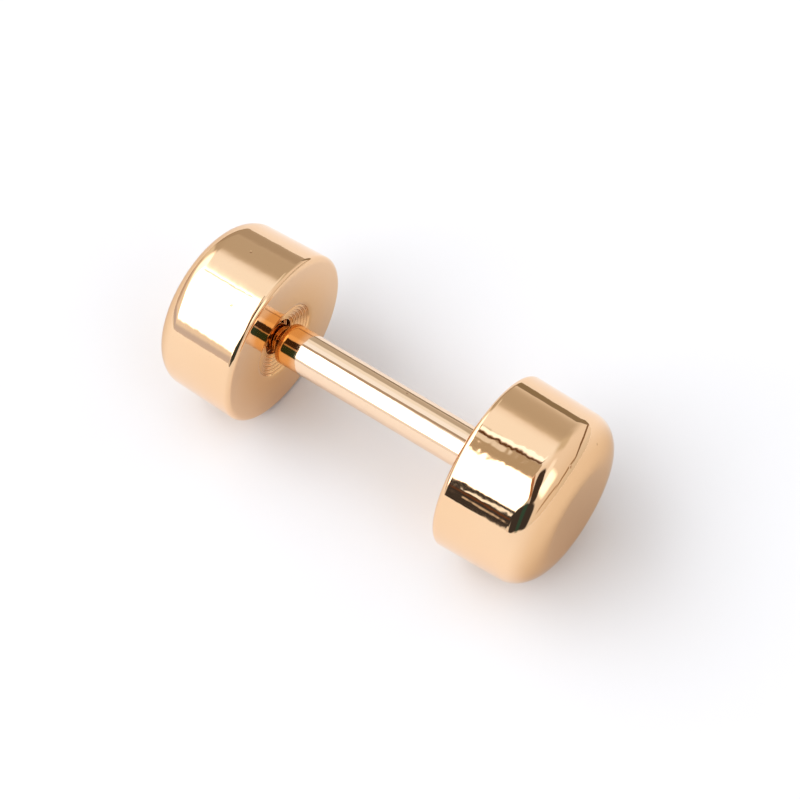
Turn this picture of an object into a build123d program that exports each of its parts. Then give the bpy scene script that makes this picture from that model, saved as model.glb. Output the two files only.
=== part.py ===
from build123d import *
from math import atan2, degrees, hypot, radians, tan
import os

# Screw bar connector: a dumbbell-shaped finding. A round bar carries a fixed head on one end.
# A second head screws onto a threaded stud at the other end, so that a strap end, ring or bead
# can be put on the bar and kept there. Millimetres. The bar lies along X, with the screw-off
# head at -X, and Z is up. The origin is on the surface that both heads rest on, below the
# middle of the whole length.

# Bar, measured between the two heads' inner faces
bar_diameter = 2.3
grip_length = 12.5
bar_root_fillet = 0.2
shoulder_round = 0.35

# Both heads
head_diameter = 9.7
head_draft_angle = 1.6
inner_rim_fillet = 0.3

# Fixed head: the corner of its outer face is a quarter of an ellipse
fixed_head_thickness = 5.5
fixed_corner_length = 1.75
fixed_corner_depth = 2.25

# Screw head, a little thinner and with a tighter corner
screw_head_thickness = 5.1
screw_corner_length = 1.25
screw_corner_depth = 1.5

# Countersunk recess in the screw head's inner face, with turned ridges round it
recess_diameter = 4.5
recess_depth = 0.45
recess_lip_fillet = 0.6
ridge_pitch = 0.19
ridge_groove_radius = 0.085
ridge_groove_depth = 0.065

# Stud behind the bar's shoulder
neck_diameter = 1.5
neck_length = 0.6
stud_diameter = 2.0
stud_length = 3.4
stud_tip_chamfer = 0.25

# Thread on the stud and in its tapped hole, cut as rings
thread_pitch = 0.4
thread_depth = 0.2
thread_groove_angle = 60.0
thread_run_out = 0.1
thread_clearance = 0.05
tip_clearance = 0.1

# Sizes that follow
bar_radius = bar_diameter / 2
head_radius = head_diameter / 2
recess_radius = recess_diameter / 2
neck_radius = neck_diameter / 2
stud_radius = stud_diameter / 2
hole_radius = stud_radius + thread_clearance
hole_depth = stud_length + tip_clearance
groove_half_width = thread_depth * tan(radians(thread_groove_angle / 2))
overall_length = screw_head_thickness + grip_length + fixed_head_thickness
screw_face_x = screw_head_thickness - overall_length / 2
fixed_face_x = screw_face_x + grip_length
axis_height = head_radius

# The drafted side is drawn to a sharp rim, and the rim's fillet brings it down to the head's radius
side_slope = tan(radians(head_draft_angle))
sharp_rim_radius = head_radius + inner_rim_fillet * (side_slope + hypot(1, side_slope) - 1)

# Working planes through the bar's axis: local x runs from a head's inner face into that head,
# and local y is the distance from the axis.
bar_axis = Axis((0, 0, axis_height), (1, 0, 0))
fixed_plane = Plane(origin=(fixed_face_x, 0, axis_height), x_dir=(1, 0, 0), z_dir=(0, -1, 0))
screw_plane = Plane(origin=(screw_face_x, 0, axis_height), x_dir=(-1, 0, 0), z_dir=(0, 1, 0))


def draw_head(thickness, corner_length, corner_depth):
    """Half outline of a head: drafted side, elliptical outer corner that the side runs into."""
    corner_x = thickness - corner_length
    lean = corner_length * side_slope
    corner_y = sharp_rim_radius - side_slope * corner_x - hypot(corner_depth, lean)
    start = degrees(atan2(corner_depth, lean))
    corner = EllipticalCenterArc(
        (corner_x, corner_y), corner_length, corner_depth, start, arc_size=-start
    )
    Polyline((0, 0), (0, sharp_rim_radius), corner @ 0)
    Polyline(corner @ 1, (thickness, 0), (0, 0))


def draw_shaft():
    """Half outline of the neck and the stud's blank, from the bar's shoulder to the tip."""
    taper_end = neck_length + stud_radius - neck_radius
    Polyline(
        (0, 0),
        (0, neck_radius),
        (neck_length, neck_radius),
        (taper_end, stud_radius),
        (stud_length - stud_tip_chamfer, stud_radius),
        (stud_length, stud_radius - stud_tip_chamfer),
        (stud_length, 0),
        (0, 0),
    )


def thread_rings(start, end, crest_radius, direction):
    """Grooves of the thread, between two depths; direction +1 cuts outwards, -1 inwards."""
    usable = end - start - 2 * (thread_run_out + groove_half_width)
    count = max(1, int(usable / thread_pitch) + 1)
    middle = (start + end) / 2
    bottom = direction * thread_depth
    with Locations((middle, crest_radius)):
        with GridLocations(thread_pitch, 0, count, 1):
            Polygon(
                (-groove_half_width, 0),
                (groove_half_width, 0),
                (0, bottom),
                align=None,
            )


def recess_ridge_places():
    """Centres of the ring grooves: evenly spaced down the recess's cone, just off its surface."""
    fall = hole_radius - recess_radius
    slant = hypot(recess_depth, fall)
    lip = recess_lip_fillet * tan(atan2(recess_depth, -fall) / 2)
    count = max(1, int((slant - lip) / ridge_pitch))
    lift = (ridge_groove_radius - ridge_groove_depth) / slant
    shares = [(lip + (n + 0.5) * (slant - lip) / count) / slant for n in range(count)]
    return [
        (share * recess_depth + lift * fall, recess_radius + share * fall - lift * recess_depth)
        for share in shares
    ]


# Bar, fixed head and stud: one turned piece
with BuildPart() as headed_bar:
    with BuildSketch(fixed_plane):
        with BuildLine():
            draw_head(fixed_head_thickness, fixed_corner_length, fixed_corner_depth)
        make_face()
    revolve(axis=bar_axis)
    inner_rim = headed_bar.edges().filter_by(GeomType.CIRCLE).group_by(Axis.X)[0]
    fillet(inner_rim, inner_rim_fillet)
    with BuildSketch(Plane.YZ.offset(fixed_face_x)):
        with Locations((0, axis_height)):
            Circle(bar_radius)
    extrude(amount=-grip_length)
    circles = headed_bar.edges().filter_by(GeomType.CIRCLE)
    fillet(circles.group_by(Axis.X)[0], shoulder_round)
    bar_root = circles.filter_by(lambda edge: abs(edge.radius - bar_radius) < 1e-6)
    fillet(bar_root.sort_by(Axis.X)[-1], bar_root_fillet)
    with BuildSketch(screw_plane):
        with BuildLine():
            draw_shaft()
        make_face()
    revolve(axis=bar_axis)
    with BuildSketch(screw_plane):
        thread_rings(
            neck_length + stud_radius - neck_radius,
            stud_length - stud_tip_chamfer,
            stud_radius,
            -1,
        )
    revolve(axis=bar_axis, mode=Mode.SUBTRACT)
headed_bar.part.label = "headed_bar"

# Screw-off head: a blind tapped hole behind a ridged countersunk recess
with BuildPart() as screw_head:
    with BuildSketch(screw_plane):
        with BuildLine():
            draw_head(screw_head_thickness, screw_corner_length, screw_corner_depth)
        make_face()
    revolve(axis=bar_axis)
    inner_rim = screw_head.edges().filter_by(GeomType.CIRCLE).group_by(Axis.X)[-1]
    fillet(inner_rim, inner_rim_fillet)
    with BuildSketch(screw_plane):
        with BuildLine():
            Polyline(
                (0, 0),
                (0, recess_radius),
                (recess_depth, hole_radius),
                (hole_depth, hole_radius),
                (hole_depth, 0),
                (0, 0),
            )
        make_face()
    revolve(axis=bar_axis, mode=Mode.SUBTRACT)
    recess_rim = screw_head.edges().filter_by(
        lambda edge: edge.geom_type == GeomType.CIRCLE
        and abs(edge.radius - recess_radius) < 1e-6
    )
    fillet(recess_rim, recess_lip_fillet)
    with BuildSketch(screw_plane):
        with Locations(*recess_ridge_places()):
            Circle(ridge_groove_radius)
    revolve(axis=bar_axis, mode=Mode.SUBTRACT)
    with BuildSketch(screw_plane):
        thread_rings(recess_depth, hole_depth, hole_radius, 1)
    revolve(axis=bar_axis, mode=Mode.SUBTRACT)
screw_head.part.label = "screw_head"

os.makedirs("parts", exist_ok=True)
export_step(headed_bar.part, "parts/headed_bar.step")
export_step(screw_head.part, "parts/screw_head.step")
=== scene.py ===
import bpy
from collections import namedtuple
from math import atan2, cos, degrees, hypot, pi, radians, sin, tan
from mathutils import Matrix, Vector


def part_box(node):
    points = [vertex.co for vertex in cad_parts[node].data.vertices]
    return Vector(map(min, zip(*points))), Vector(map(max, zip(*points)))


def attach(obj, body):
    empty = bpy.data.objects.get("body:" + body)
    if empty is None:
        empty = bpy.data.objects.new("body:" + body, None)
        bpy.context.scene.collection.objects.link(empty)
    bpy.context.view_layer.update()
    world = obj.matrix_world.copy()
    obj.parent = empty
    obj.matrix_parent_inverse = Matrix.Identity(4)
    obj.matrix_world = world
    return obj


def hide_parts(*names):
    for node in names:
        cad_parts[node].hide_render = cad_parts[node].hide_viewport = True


# Screw bar connector: a polished, gold-plated bar with a fixed head on one end and a screw-off
# head on the other. The bar lies along X, Z is up, and both heads rest on the floor at Z = 0.

MM = 0.001
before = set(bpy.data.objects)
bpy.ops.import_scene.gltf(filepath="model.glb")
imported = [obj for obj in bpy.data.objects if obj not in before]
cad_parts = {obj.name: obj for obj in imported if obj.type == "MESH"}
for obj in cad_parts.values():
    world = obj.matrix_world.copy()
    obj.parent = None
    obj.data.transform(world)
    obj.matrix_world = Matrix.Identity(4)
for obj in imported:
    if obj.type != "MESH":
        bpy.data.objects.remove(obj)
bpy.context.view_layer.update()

# Places and sizes that the frame gives
screw_low, screw_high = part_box("screw_head")
bar_low, bar_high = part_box("headed_bar")
axis_height = (screw_low.z + screw_high.z) / 2
head_radius = (screw_high.z - screw_low.z) / 2
screw_face_x = screw_high.x
screw_thickness = screw_high.x - screw_low.x
grip_length = 12.5 * MM
fixed_face_x = screw_face_x + grip_length
fixed_thickness = bar_high.x - fixed_face_x
stud_length = screw_face_x - bar_low.x

# Bar
bar_radius = 1.15 * MM
bar_root_fillet = 0.2 * MM
shoulder_round = 0.35 * MM

# Both heads. A corner is a quarter of an ellipse: its length along the bar and its depth.
head_draft = radians(1.6)
rim_fillet = 0.3 * MM
fixed_corner = (1.75 * MM, 2.25 * MM)
screw_corner = (1.25 * MM, 1.5 * MM)

# Recess in the screw head
recess_radius = 2.25 * MM
recess_depth = 0.45 * MM
recess_lip_fillet = 0.6 * MM
ridge_count = 6
ridge_groove_depth = 0.065 * MM

# Stud and tapped hole
neck_radius = 0.75 * MM
neck_length = 0.6 * MM
stud_radius = 1.0 * MM
stud_tip_chamfer = 0.25 * MM
thread_pitch = 0.4 * MM
thread_depth = 0.2 * MM
thread_fade = 0.4 * MM
hole_radius = stud_radius + 0.05 * MM
hole_depth = stud_length + 0.1 * MM
neck_end = neck_length + stud_radius - neck_radius

# Meshes: points round the axis, and steps along the outlines
segments = 256
row_step = 0.25 * MM
thread_row_step = thread_pitch / 12
support_gap = 0.02 * MM
fillet_steps = 12
lip_steps = 16
rim_steps = 18
corner_steps = 60
groove_steps = 16
smallest_radius = 1e-6 * MM

# Gold, as the colour that it mirrors straight on, and tones painted over it for light, shade and
# reflection
main_gold = (0.94, 0.635, 0.385)
drifted_gold = (0.945, 0.655, 0.41)
# Painted light: a paler tone on the shaft, for its brighter reflections
shaft_painted_light = (0.95, 0.71, 0.505)
# Painted shade and painted reflection: a deeper tone on the inner faces
inner_face_painted_shade_and_reflection = (0.87, 0.575, 0.34)
# Painted reflection: a deeper tone round the joint on the screw head
recess_painted_reflection = (0.90, 0.54, 0.25)
# Painted reflection: a deeper tone on the bar's end at the joint and on the stud
stud_painted_reflection = (0.86, 0.49, 0.19)
# Painted shade: a deeper tone on the outer faces
outer_face_painted_shade = (0.81, 0.51, 0.275)
# Painted shade: brown in crevices, by how closed in a place is
crevice_painted_shade = (0.45, 0.20, 0.08)
pit_brown = (0.45, 0.22, 0.10)

# Gold's tint at a grazing angle, over most of it and on the outer faces, where it is painted shade
main_edge_tint = (1.0, 1.0, 1.0)
outer_face_painted_shade_edge_tint = (0.84, 0.75, 0.66)

# Where a painted tone starts and where it is full
shaft_painted_zone = (1.7 * MM, 1.2 * MM)  # from the axis
inner_face_painted_zone = (0.25 * MM, 0.05 * MM)  # into a head, from its inner face
recess_painted_zone = (4.8 * MM, 2.0 * MM)  # from the middle of the screw head's inner face
stud_painted_zone = (1.45 * MM, 0.95 * MM)  # along the bar, from that inner face
outer_face_painted_zone = (10.3 * MM, 11.3 * MM)  # along the bar, from the middle of its whole length
crevice_painted_shade_zone = (0.9, 0.4)  # share of open space round a place

# How far a wall reaches for the painted shade in a crevice
crevice_painted_shade_reach = 0.35 * MM
crevice_painted_shade_samples = 4

# Noise of the polish: waves to a metre, finer waves on top of them, and height of the bumps
drift_scale = 180.0
drift_detail = 2.0
drift_range = (0.3, 0.7)
roughness_range = (0.035, 0.055)
swell_scale = 300.0
swell_detail = 0.0
swell_height = 0.006 * MM
ripple_scale = 1700.0
ripple_detail = 1.0
ripple_height = 0.004 * MM

# Pits: some cells of a random net have one. Its rim and bottom are in shares of a cell.
pit_cell_scale = 900.0
pit_rim_and_bottom = (0.10, 0.03)
pitted_cells = (0.80, 0.82)
pit_tone = 0.7
pit_depth = 0.012 * MM

# Floor
floor_size = 2000 * MM
floor_colour = (0.825, 0.835, 0.865, 1.0)
floor_roughness = 0.7
floor_gloss = 0.1

# Camera: the photograph's angle
camera_azimuth = radians(35.211)
camera_elevation = radians(56.694)
camera_distance = 105.841 * MM
camera_aim = Vector((0.517, 0.451, 4.821)) * MM
camera_lens = 93.557
camera_sensor = 36.0
camera_near = 1 * MM
camera_far = 10000 * MM

# What stands round the object, on a map of the sky: right and away are degrees from overhead,
# and turn is in degrees too. Each thing is a soft-edged rectangle, and a later one covers an
# earlier one. Light is its colour, where 1 is a white sheet in full light.
Thing = namedtuple("Thing", "name right away width depth turn edge light")
frame_tan = (0.48, 0.42, 0.33)
softbox_white = (3.2, 3.2, 3.2)
dark_cloth = (0.048, 0.044, 0.045)
surroundings = [
    Thing("room", -3, 0, 160, 164, 0, 0.04, (0.90, 0.87, 0.85)),
    Thing("right wall", 24, 33, 26, 36, 0, 0.7, (0.66, 0.62, 0.53)),
    Thing("far wall", -8, 58, 92, 36, -4, 0.75, (0.52, 0.475, 0.405)),
    Thing("foot of the far wall", -8, 82, 60, 22, -3, 0.5, (0.44, 0.39, 0.325)),
    Thing("far edge of the sheet", 42, 74.5, 50, 10.5, -20, 0.25, (0.27, 0.23, 0.165)),
    Thing("far right edge of the sheet", 69, 32, 4, 78, 14, 0.4, (0.24, 0.156, 0.093)),
    Thing("near right edge of the sheet", 73, -20, 4, 42, -13, 0.5, (0.40, 0.29, 0.185)),
    Thing("near edge of the sheet", 53, -54, 4, 42, -40, 0.5, (0.50, 0.375, 0.26)),
    Thing("gap in the far wall", -42, 66, 18, 44, 22, 0.7, (0.86, 0.85, 0.80)),
    Thing("left wall", -82, -12, 9, 74, 11, 0.8, (0.57, 0.56, 0.65)),
    Thing("far end of the left wall", -75, 38, 16, 56, -23, 0.7, (0.60, 0.54, 0.54)),
    Thing("bright ceiling", -7, 21, 44, 34, -16, 0.8, (1.03, 1.09, 1.17)),
    Thing("pale patch of ceiling", 5, 43, 9, 16, -20, 0.6, (0.95, 0.96, 0.93)),
    Thing("softbox glow", -40, 24, 38, 54, -10, 0.5, (2.0, 2.05, 2.1)),
    Thing("softbox", -44, -12, 41, 76, -10, 0.1, softbox_white),
    Thing("near half of the softbox", -27, -24, 28, 48, 15, 0.15, softbox_white),
    Thing("crease in the softbox", -23.7, 14.2, 1.7, 2.6, 0, 0.6, (1.02, 1.08, 1.15)),
    Thing("front window", 32, -34, 30, 32, -30, 0.6, (1.9, 1.95, 2.0)),
    Thing("window streak", 21, -16, 12, 34, -18, 0.7, (1.1, 1.14, 1.2)),
    Thing("warm shade", -12, -26, 8, 42, 18, 0.5, (0.42, 0.20, 0.10)),
    Thing("softbox frame", -18, -5.2, 19, 4, 33, 0.45, frame_tan),
    Thing("far side of the softbox frame", -12.4, 1, 15, 5.2, 33, 0.3, frame_tan),
    Thing("near end of the softbox frame", -25.3, -11.3, 15, 2.6, 45, 0.4, frame_tan),
    Thing("end of the softbox frame", -14.9, 10.8, 11.5, 12, -34, 0.35, (0.44, 0.36, 0.28)),
    Thing("pale part of the softbox frame", -15, 1.6, 7, 2.2, 54, 0.5, (0.88, 0.90, 0.92)),
    Thing("bright rim", -6.6, 10.8, 16, 1.8, 33, 0.5, (1.5, 1.7, 1.9)),
    Thing("dark rim", -9.1, 6.9, 14, 1.2, 33, 0.5, (0.11, 0.045, 0.012)),
    Thing("dark stand", -57.8, -56.7, 11, 35, -45, 0.1, dark_cloth),
    Thing("lit edge of the sheet", -63.3, -64.3, 14, 8, 18, 0.15, (0.85, 0.84, 0.83)),
    Thing("camera side", -15, -68, 76, 36, -11, 0.15, dark_cloth),
    Thing("green cloth", -14, -68, 15, 40, -15, 0.6, (0.035, 0.083, 0.07)),
    Thing("camera", 5.5, -32, 20, 50, 7, 0.25, (0.055, 0.042, 0.037)),
    Thing("first gap of light", -51.9, -47.2, 6.4, 1.3, 29, 0.4, (1.3, 1.35, 1.4)),
    Thing("frame of the stand", -55.8, -51.1, 4, 2.4, -45, 0.5, (0.13, 0.055, 0.03)),
    Thing("second gap of light", -59.6, -54.8, 1.8, 2.4, -45, 0.5, (0.62, 0.54, 0.46)),
]
open_sky = (0.84, 0.85, 0.86)
least_level = 1e-6
plain_background = (1.0, 0.995, 1.0)


def arc(centre, radii, start, end, steps):
    """(depth, radius) points on an arc or a stretch of an ellipse; angles in degrees."""
    angles = [radians(start + (end - start) * i / steps) for i in range(steps + 1)]
    return [(centre[0] + radii[0] * cos(a), centre[1] + radii[1] * sin(a)) for a in angles]


def line(start, end, step=row_step):
    """Points between two points, with one close to each end, so that shading stays true."""
    length = hypot(end[0] - start[0], end[1] - start[1])
    count = max(1, round(length / step))
    shares = [i / count for i in range(1, count)]
    if length > 4 * support_gap:
        shares = [support_gap / length, *shares, 1 - support_gap / length]
    return [(start[0] + (end[0] - start[0]) * s, start[1] + (end[1] - start[1]) * s) for s in shares]


def joined(*stretches):
    """Stretches of an outline in order, each joined to the next by a straight line."""
    outline = list(stretches[0])
    for stretch in stretches[1:]:
        outline += line(outline[-1], stretch[0])
        outline += stretch
    return outline


def head_skin(thickness, corner):
    """Outline of a head from its inner rim to the middle of its outer face.

    Depth 0 is the inner face.
    """
    slope = tan(head_draft)
    sharp_rim = head_radius + rim_fillet * (slope + hypot(1, slope) - 1)
    rim_centre = (rim_fillet, head_radius - rim_fillet)
    rim = arc(rim_centre, (rim_fillet, rim_fillet), 180, 90 - degrees(head_draft), rim_steps)
    length, depth = corner
    lean = length * slope
    corner_x = thickness - length
    corner_centre = (corner_x, sharp_rim - slope * corner_x - hypot(depth, lean))
    outer = arc(corner_centre, corner, degrees(atan2(depth, lean)), 0, corner_steps)
    return joined(rim, outer, [(thickness, 0)])


def wave(turns):
    """A round wave of one turn each, from 0 up to 1 and back."""
    return 0.5 - 0.5 * cos(2 * pi * turns)


def thread_groove(depth, angle, start, end):
    """Depth of a rounded helical groove at a place on the stud or in its hole."""
    near_end = min(depth - start, end - depth)
    fade = max(0.0, min(1.0, near_end / thread_fade))
    return thread_depth * fade * wave(depth / thread_pitch - angle / (2 * pi))


def ring_faces(inner, outer):
    """Faces between two neighbouring rings of vertices, either of which may be one point."""
    faces = []
    for i in range(segments):
        j = (i + 1) % segments
        if len(inner) == 1:
            faces.append((inner[0], outer[j], outer[i]))
        elif len(outer) == 1:
            faces.append((inner[i], inner[j], outer[0]))
        else:
            faces.append((inner[i], inner[j], outer[j], outer[i]))
    return faces


def turned(name, outline, face_x, direction, thread, side):
    """A closed mesh: the outline turned about the bar's axis, with a thread on its threaded points.

    Depth runs from face_x along direction. thread is where the thread starts and ends. side is
    -1 for a thread cut into a shaft and 1 for one cut into a hole.
    """
    verts = []
    rings = []
    for depth, radius, *threaded in outline:
        x = face_x + direction * depth
        if radius < smallest_radius:
            rings.append([len(verts)])
            verts.append((x, 0, axis_height))
            continue
        rings.append(list(range(len(verts), len(verts) + segments)))
        for i in range(segments):
            angle = 2 * pi * i / segments
            r = radius
            if threaded:
                r += side * thread_groove(abs(depth), angle, *thread)
            verts.append((x, r * sin(angle), axis_height + r * cos(angle)))
    faces = [face for inner, outer in zip(rings, rings[1:]) for face in ring_faces(inner, outer)]
    if direction > 0:
        faces = [tuple(reversed(face)) for face in faces]
    mesh = bpy.data.meshes.new(name)
    mesh.from_pydata(verts, [], faces)
    mesh.polygons.foreach_set("use_smooth", [True] * len(mesh.polygons))
    mesh.update()
    piece = bpy.data.objects.new(name, mesh)
    bpy.context.scene.collection.objects.link(piece)
    return piece


def thread_rows(start, end, radius):
    """Evenly spaced points along a threaded stretch, close enough for its grooves."""
    count = round(abs(end - start) / thread_row_step)
    return [(start + (end - start) * i / count, radius, "threaded") for i in range(count + 1)]


def headed_bar_outline():
    """Stud tip, threaded stud, neck, shoulder, bar, root and fixed head.

    Depth 0 is the fixed head's inner face.
    """
    face = -grip_length
    tip = face - stud_length
    shoulder_centre = (face + shoulder_round, bar_radius - shoulder_round)
    shoulder = arc(shoulder_centre, (shoulder_round, shoulder_round), 180, 90, fillet_steps)
    root_centre = (-bar_root_fillet, bar_radius + bar_root_fillet)
    root = arc(root_centre, (bar_root_fillet, bar_root_fillet), -90, 0, fillet_steps)
    return joined(
        [(tip, 0)],
        [(tip, stud_radius - stud_tip_chamfer)],
        thread_rows(tip + stud_tip_chamfer, face - neck_end, stud_radius),
        [(face - neck_length, neck_radius)],
        [(face, neck_radius)],
        shoulder,
        root,
        head_skin(fixed_thickness, fixed_corner),
    )


def recess_outline():
    """The recess from the tapped hole's edge up its ridged cone and round its lip."""
    run = recess_radius - hole_radius
    slant = hypot(recess_depth, run)
    turn = atan2(recess_depth, run)
    lip = recess_lip_fillet * tan(turn / 2)
    ridged = slant - lip
    along = (-recess_depth / slant, run / slant)
    into = (run / slant, recess_depth / slant)
    points = []
    steps = ridge_count * groove_steps
    for i in range(steps + 1):
        s = ridged * i / steps
        groove = ridge_groove_depth * wave(i / groove_steps)
        points.append(
            (
                recess_depth + along[0] * s + into[0] * groove,
                hole_radius + along[1] * s + into[1] * groove,
            )
        )
    centre = (recess_lip_fillet, recess_radius + lip)
    radii = (recess_lip_fillet, recess_lip_fillet)
    return points + arc(centre, radii, 180 + degrees(turn), 180, lip_steps)[1:]


def screw_head_outline():
    """Bottom of the tapped hole, its thread, the recess and the head.

    Depth 0 is the head's inner face.
    """
    return joined(
        [(hole_depth, 0)],
        thread_rows(hole_depth, recess_depth, hole_radius)[:-1],
        recess_outline(),
        head_skin(screw_thickness, screw_corner),
    )


class Nodes:
    """Short calls for adding shader nodes to one tree."""

    def __init__(self, tree):
        self.tree = tree

    def add(self, kind, inputs=None, **settings):
        """A node with its settings, whose inputs are values or other nodes' outputs."""
        node = self.tree.nodes.new(kind)
        for name, value in settings.items():
            setattr(node, name, value)
        for key, value in (inputs or {}).items():
            if isinstance(value, bpy.types.NodeSocket):
                self.tree.links.new(value, node.inputs[key])
            else:
                node.inputs[key].default_value = value
        return node

    def finish(self, shader, output_kind):
        """Link a shader to the tree's output."""
        output = self.add(output_kind)
        self.tree.links.new(shader.outputs[0], output.inputs[0])

    def math(self, operation, first, second=0.0):
        return self.add("ShaderNodeMath", {0: first, 1: second}, operation=operation).outputs[0]

    def length_of(self, first, second):
        """Length of a flat arrow, from its two parts."""
        squares = [self.math("MULTIPLY", part, part) for part in (first, second)]
        return self.math("SQRT", self.math("ADD", *squares))

    def ramp(self, value, low, high, start=0.0, end=1.0):
        """value taken smoothly from low..high to start..end, clamped."""
        node = self.add(
            "ShaderNodeMapRange",
            {"Value": value, "From Min": low, "From Max": high, "To Min": start, "To Max": end},
            interpolation_type="SMOOTHSTEP",
        )
        return node.outputs["Result"]

    def mix(self, factor, first, second):
        """The first colour, covered by the second as far as factor says."""
        node = self.add("ShaderNodeMix", {"Factor": factor}, data_type="RGBA")
        for socket, value in zip((node.inputs[6], node.inputs[7]), (first, second)):
            if isinstance(value, bpy.types.NodeSocket):
                self.tree.links.new(value, socket)
            else:
                socket.default_value = (*value, 1.0)
        return node.outputs[2]

    def noise(self, place, scale, detail):
        inputs = {"Vector": place, "Scale": scale, "Detail": detail}
        return self.add("ShaderNodeTexNoise", inputs).outputs["Fac"]

    def bump(self, height, distance, below=None):
        """Surface direction after a bump, laid over the one below it."""
        inputs = {"Strength": 1.0, "Distance": distance, "Height": height}
        if below:
            inputs["Normal"] = below
        return self.add("ShaderNodeBump", inputs).outputs["Normal"]


def new_material(name):
    material = bpy.data.materials.new(name)
    material.use_nodes = True
    material.node_tree.nodes.clear()
    return material, Nodes(material.node_tree)


def gold_and_painted_colours(nodes, place, drift, pits):
    """Gold's colour and its tint at a grazing angle, by place on the object, with painted light,
    painted shade and painted reflection laid on by place.
    """
    along, across, height = nodes.add("ShaderNodeSeparateXYZ", {0: place}).outputs
    from_axis = nodes.length_of(across, nodes.math("SUBTRACT", height, axis_height))
    colour = nodes.mix(nodes.ramp(drift, *drift_range), main_gold, drifted_gold)

    # Painted light: paler on the shaft
    on_shaft = nodes.ramp(from_axis, *shaft_painted_zone)
    off_shaft = nodes.math("SUBTRACT", 1.0, on_shaft)
    colour = nodes.mix(on_shaft, colour, shaft_painted_light)

    # Painted shade and painted reflection: deeper on the inner faces, off the shaft
    between_heads = nodes.math(
        "MULTIPLY",
        nodes.ramp(along, *(screw_face_x - inside for inside in inner_face_painted_zone)),
        nodes.ramp(along, *(fixed_face_x + inside for inside in inner_face_painted_zone)),
    )
    colour = nodes.mix(nodes.math("MULTIPLY", between_heads, off_shaft), colour, inner_face_painted_shade_and_reflection)

    # Painted reflection: deeper round the joint, off the shaft
    joint = (screw_face_x, 0, axis_height)
    from_joint = nodes.add("ShaderNodeVectorMath", {0: place, 1: joint}, operation="DISTANCE")
    near_joint = nodes.ramp(from_joint.outputs["Value"], *recess_painted_zone)
    colour = nodes.mix(nodes.math("MULTIPLY", near_joint, off_shaft), colour, recess_painted_reflection)

    # Painted reflection: deeper on the bar's end at the joint and on the stud
    toward_tip = nodes.ramp(along, *(screw_face_x + outside for outside in stud_painted_zone))
    colour = nodes.mix(nodes.math("MULTIPLY", toward_tip, on_shaft), colour, stud_painted_reflection)

    # Painted shade: deeper on the outer faces
    on_end = nodes.ramp(nodes.math("ABSOLUTE", along), *outer_face_painted_zone)
    colour = nodes.mix(on_end, colour, outer_face_painted_shade)

    # Painted shade: browner in crevices
    openness = nodes.add(
        "ShaderNodeAmbientOcclusion", {"Distance": crevice_painted_shade_reach}, samples=crevice_painted_shade_samples
    )
    colour = nodes.mix(nodes.ramp(openness.outputs["AO"], *crevice_painted_shade_zone), colour, crevice_painted_shade)
    colour = nodes.mix(nodes.math("MULTIPLY", pits, pit_tone), colour, pit_brown)
    # Painted shade: the outer faces' grazing tint is deeper too
    return colour, nodes.mix(on_end, main_edge_tint, outer_face_painted_shade_edge_tint)


def polished_gold():
    """Mirror-polished light gold plating: slightly wavy, with a few tiny pits.

    Painted light makes it paler on the shaft; painted shade makes it deeper on the outer faces and
    brown in crevices, painted shade and painted reflection on the inner faces, and painted reflection
    in the recess and on the stud.
    """
    material, nodes = new_material("polished_gold")
    place = nodes.add("ShaderNodeTexCoord").outputs["Object"]
    drift = nodes.noise(place, drift_scale, drift_detail)
    cells = nodes.add("ShaderNodeTexVoronoi", {"Vector": place, "Scale": pit_cell_scale})
    chance = nodes.add("ShaderNodeSeparateColor", {0: cells.outputs["Color"]}).outputs[0]
    pits = nodes.math(
        "MULTIPLY",
        nodes.ramp(cells.outputs["Distance"], *pit_rim_and_bottom),
        nodes.ramp(chance, *pitted_cells),
    )
    colour, edge_tint = gold_and_painted_colours(nodes, place, drift, pits)
    swell = nodes.noise(place, swell_scale, swell_detail)
    ripple = nodes.noise(place, ripple_scale, ripple_detail)
    pitted = nodes.bump(pits, -pit_depth, nodes.bump(swell, swell_height))
    rippled = nodes.bump(ripple, ripple_height, pitted)
    shader = nodes.add(
        "ShaderNodeBsdfPrincipled",
        {
            "Base Color": colour,
            "Metallic": 1.0,
            "Roughness": nodes.ramp(drift, *drift_range, *roughness_range),
            "Specular Tint": edge_tint,
            "Normal": rippled,
        },
    )
    nodes.finish(shader, "ShaderNodeOutputMaterial")
    return material


def floor_material():
    material, nodes = new_material("pale_floor")
    shader = nodes.add(
        "ShaderNodeBsdfPrincipled",
        {
            "Base Color": floor_colour,
            "Roughness": floor_roughness,
            "Specular IOR Level": floor_gloss,
        },
    )
    nodes.finish(shader, "ShaderNodeOutputMaterial")
    return material


def sky_map_place(nodes):
    """Where a direction falls on the map of the sky: degrees from overhead, right and away."""
    direction = nodes.add("ShaderNodeTexCoord").outputs["Generated"]

    def part_along(axis):
        node = nodes.add("ShaderNodeVectorMath", {0: direction, 1: axis}, operation="DOT_PRODUCT")
        return node.outputs["Value"]

    right_part = part_along((cos(camera_azimuth), sin(camera_azimuth), 0))
    away_part = part_along((-sin(camera_azimuth), cos(camera_azimuth), 0))
    from_overhead = nodes.math("DEGREES", nodes.math("ARCCOSINE", part_along((0, 0, 1))))
    level = nodes.math("MAXIMUM", nodes.length_of(right_part, away_part), least_level)
    share = nodes.math("DIVIDE", from_overhead, level)
    right = nodes.math("MULTIPLY", share, right_part)
    away = nodes.math("MULTIPLY", share, away_part)
    return nodes.add("ShaderNodeCombineXYZ", {"X": right, "Y": away}).outputs[0]


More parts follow.
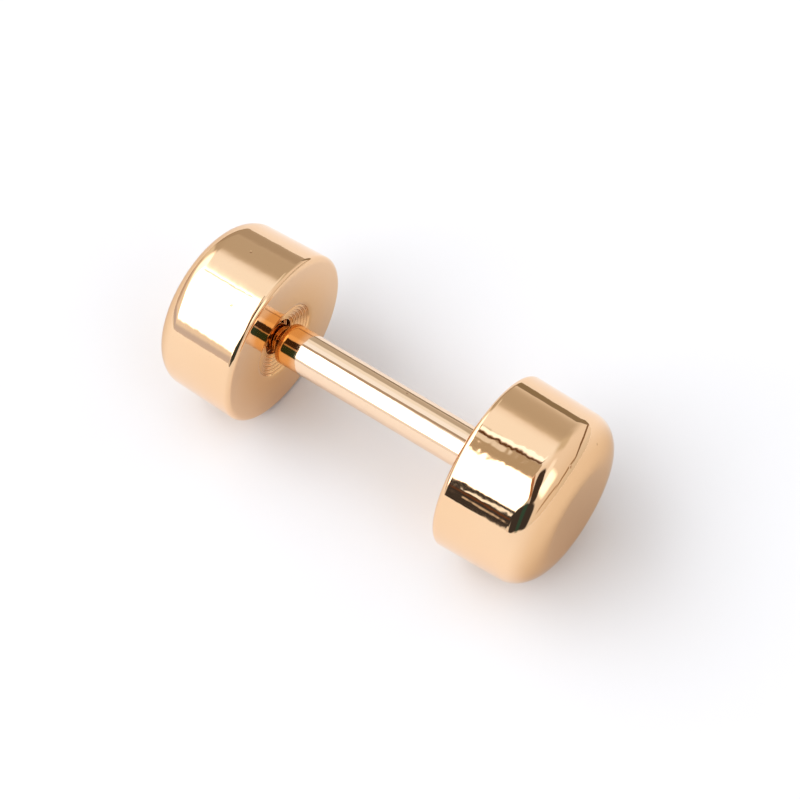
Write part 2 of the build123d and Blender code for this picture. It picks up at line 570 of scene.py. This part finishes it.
def cover_of(nodes, place, thing):
    """How far a thing of the surroundings covers a place on the map, from 0 to 1."""
    local = nodes.add(
        "ShaderNodeMapping",
        {
            "Vector": place,
            "Location": (thing.right, thing.away, 0),
            "Rotation": (0, 0, radians(thing.turn)),
            "Scale": (thing.width / 2, thing.depth / 2, 1),
        },
        vector_type="TEXTURE",
    ).outputs[0]
    squared = nodes.add("ShaderNodeVectorMath", {0: local, 1: local}, operation="MULTIPLY")
    far = nodes.add("ShaderNodeVectorMath", {0: squared.outputs[0]}, operation="LENGTH")
    return nodes.ramp(far.outputs["Value"], 1 + thing.edge, 1 - thing.edge)


def sky():
    """World: the surroundings that the polished metal mirrors, and a plain pale tone for the camera."""
    world = bpy.data.worlds.new("studio")
    world.use_nodes = True
    world.node_tree.nodes.clear()
    nodes = Nodes(world.node_tree)
    place = sky_map_place(nodes)
    light = open_sky
    for thing in surroundings:
        light = nodes.mix(cover_of(nodes, place, thing), light, thing.light)
    seen = nodes.add("ShaderNodeLightPath").outputs["Is Camera Ray"]
    shown = nodes.mix(seen, light, plain_background)
    background = nodes.add("ShaderNodeBackground", {"Color": shown, "Strength": 1.0})
    nodes.finish(background, "ShaderNodeOutputWorld")
    bpy.context.scene.world = world


def floor():
    """Plain pale sheet that both heads rest on."""
    half = floor_size / 2
    mesh = bpy.data.meshes.new("floor")
    corners = [(-half, -half, 0), (half, -half, 0), (half, half, 0), (-half, half, 0)]
    mesh.from_pydata(corners, [], [(0, 1, 2, 3)])
    mesh.materials.append(floor_material())
    sheet = bpy.data.objects.new("floor", mesh)
    bpy.context.scene.collection.objects.link(sheet)


def camera():
    """Camera at the photograph's angle and distance."""
    data = bpy.data.cameras.new("camera")
    data.lens = camera_lens
    data.sensor_width = camera_sensor
    data.clip_start = camera_near
    data.clip_end = camera_far
    right = Vector((cos(camera_azimuth), sin(camera_azimuth), 0))
    back = Vector(
        (
            sin(camera_azimuth) * cos(camera_elevation),
            -cos(camera_azimuth) * cos(camera_elevation),
            sin(camera_elevation),
        )
    )
    up = back.cross(right)
    place = camera_aim + back * camera_distance
    turn = Matrix((right, up, back)).transposed().to_4x4()
    looker = bpy.data.objects.new("camera", data)
    looker.matrix_world = Matrix.Translation(place) @ turn
    bpy.context.scene.collection.objects.link(looker)
    bpy.context.scene.camera = looker


headed_bar = turned(
    "turned_headed_bar",
    headed_bar_outline(),
    fixed_face_x,
    direction=1,
    thread=(grip_length + neck_end, grip_length + stud_length - stud_tip_chamfer),
    side=-1,
)
screw_head = turned(
    "turned_screw_head",
    screw_head_outline(),
    screw_face_x,
    direction=-1,
    thread=(recess_depth, hole_depth),
    side=1,
)
gold = polished_gold()
for piece, node, body in (
    (headed_bar, "headed_bar", "bar"),
    (screw_head, "screw_head", "removable_head"),
):
    piece.data.materials.append(gold)
    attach(piece, body)
    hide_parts(node)

floor()
sky()
camera()
bpy.context.scene.view_settings.view_transform = "Standard"
